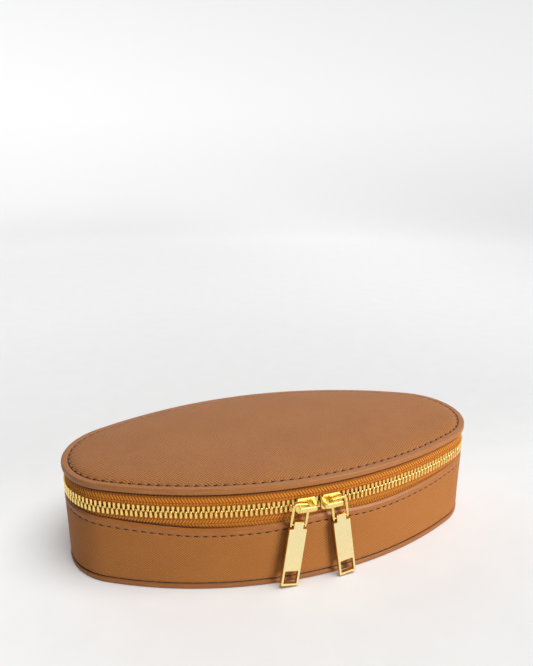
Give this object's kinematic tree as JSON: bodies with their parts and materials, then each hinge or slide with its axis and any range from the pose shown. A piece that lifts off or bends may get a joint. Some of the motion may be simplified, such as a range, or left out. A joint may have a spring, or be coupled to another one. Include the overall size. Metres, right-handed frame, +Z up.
{
  "type": "jewellery case",
  "caption": "Oval zip-around leather jewellery case: padded lid on a leather back hinge, lined compartments and ring rolls inside, and paired sliders with flat metal pull tabs.",
  "frame": {"origin": "centre of the underside of the base panel, on the plane the case rests on", "axes": "+Z up, +X along the long axis to the right seen from the front, -Y the front where the zip sliders meet, +Y the back with the leather hinge"},
  "size_m": [0.21, 0.1048, 0.0534],
  "materials": {
    "leather": "fine crosshatch embossed tan leather, satin",
    "leather_side": "fine crosshatch embossed tan leather, satin",
    "leather_edge": "smooth tan edge leather, satin",
    "thread": "waxed sewing thread",
    "zip_tape": "ochre woven herringbone tape",
    "zip_metal": "polished pale gold",
    "pull_metal": "polished pale gold plate",
    "foam": "open-cell padding",
    "board": "pressed fibre board",
    "lining": "short-pile suede cloth",
    "roll_velvet": "short-pile velvet"
  },
  "bodies": {
    "base": {"base_panel_leather": "leather_edge", "base_board": "board", "body_side_leather": "leather_side", "body_lip_fold": "leather_side", "body_stitching": "thread", "body_wall_foam": "foam", "body_wall_board": "board", "lining_wall": "lining", "lining_floor": "lining", "divider_left": "lining", "divider_right": "lining", "divider_end": "lining", "ring_rolls": "roll_velvet", "zip_tape_lower": "zip_tape", "zip_teeth_lower": "zip_metal", "zip_end_stops": "zip_metal", "hinge_leather_lower": "leather_side"},
    "lid": {"lid_top_leather": "leather", "lid_foam_pad": "foam", "lid_board": "board", "lid_rim_binding": "leather_edge", "lid_stitching": "thread", "lid_lining": "lining", "zip_tape_upper": "zip_tape", "zip_teeth_upper": "zip_metal", "hinge_leather_upper": "leather_side"},
    "left_slider": {"slider_left": "pull_metal"},
    "right_slider": {"slider_right": "pull_metal"},
    "left_stirrup": {"stirrup_left": "pull_metal"},
    "right_stirrup": {"stirrup_right": "pull_metal"},
    "left_tab": {"pull_tab_left": "pull_metal"},
    "right_tab": {"pull_tab_right": "pull_metal"}
  },
  "joints": [
    {"name": "lid_hinge", "type": "hinge", "parent": "base", "child": "lid", "pos_m": [0, 0.0502, 0.0399], "axis": [-1, 0, 0], "range_deg": [0, 110]},
    {"name": "left_slider_travel", "type": "hinge", "parent": "base", "child": "left_slider", "pos_m": [0, 0.13676, 0.0399], "axis": [0, 0, -1], "range_deg": [0, 26]},
    {"name": "right_slider_travel", "type": "hinge", "parent": "base", "child": "right_slider", "pos_m": [0, 0.13676, 0.0399], "axis": [0, 0, 1], "range_deg": [0, 22.5]},
    {"name": "left_stirrup_tilt", "type": "hinge", "parent": "left_slider", "child": "left_stirrup", "pos_m": [-0.00373, -0.05244, 0.04049], "axis": [-0.9903, 0.0027, 0.1392], "range_deg": [0, 22]},
    {"name": "right_stirrup_tilt", "type": "hinge", "parent": "right_slider", "child": "right_stirrup", "pos_m": [0.01494, -0.05189, 0.04049], "axis": [-0.9884, -0.0614, -0.1392], "range_deg": [0, 22]},
    {"name": "left_tab_flip", "type": "hinge", "parent": "left_stirrup", "child": "left_tab", "pos_m": [-0.0046, -0.05244, 0.03173], "axis": [-0.9903, 0.0027, 0.1392], "range_deg": [0, 135]},
    {"name": "right_tab_flip", "type": "hinge", "parent": "right_stirrup", "child": "right_tab", "pos_m": [0.01581, -0.05183, 0.03173], "axis": [-0.9884, -0.0614, -0.1392], "range_deg": [0, 135]}
  ]
}
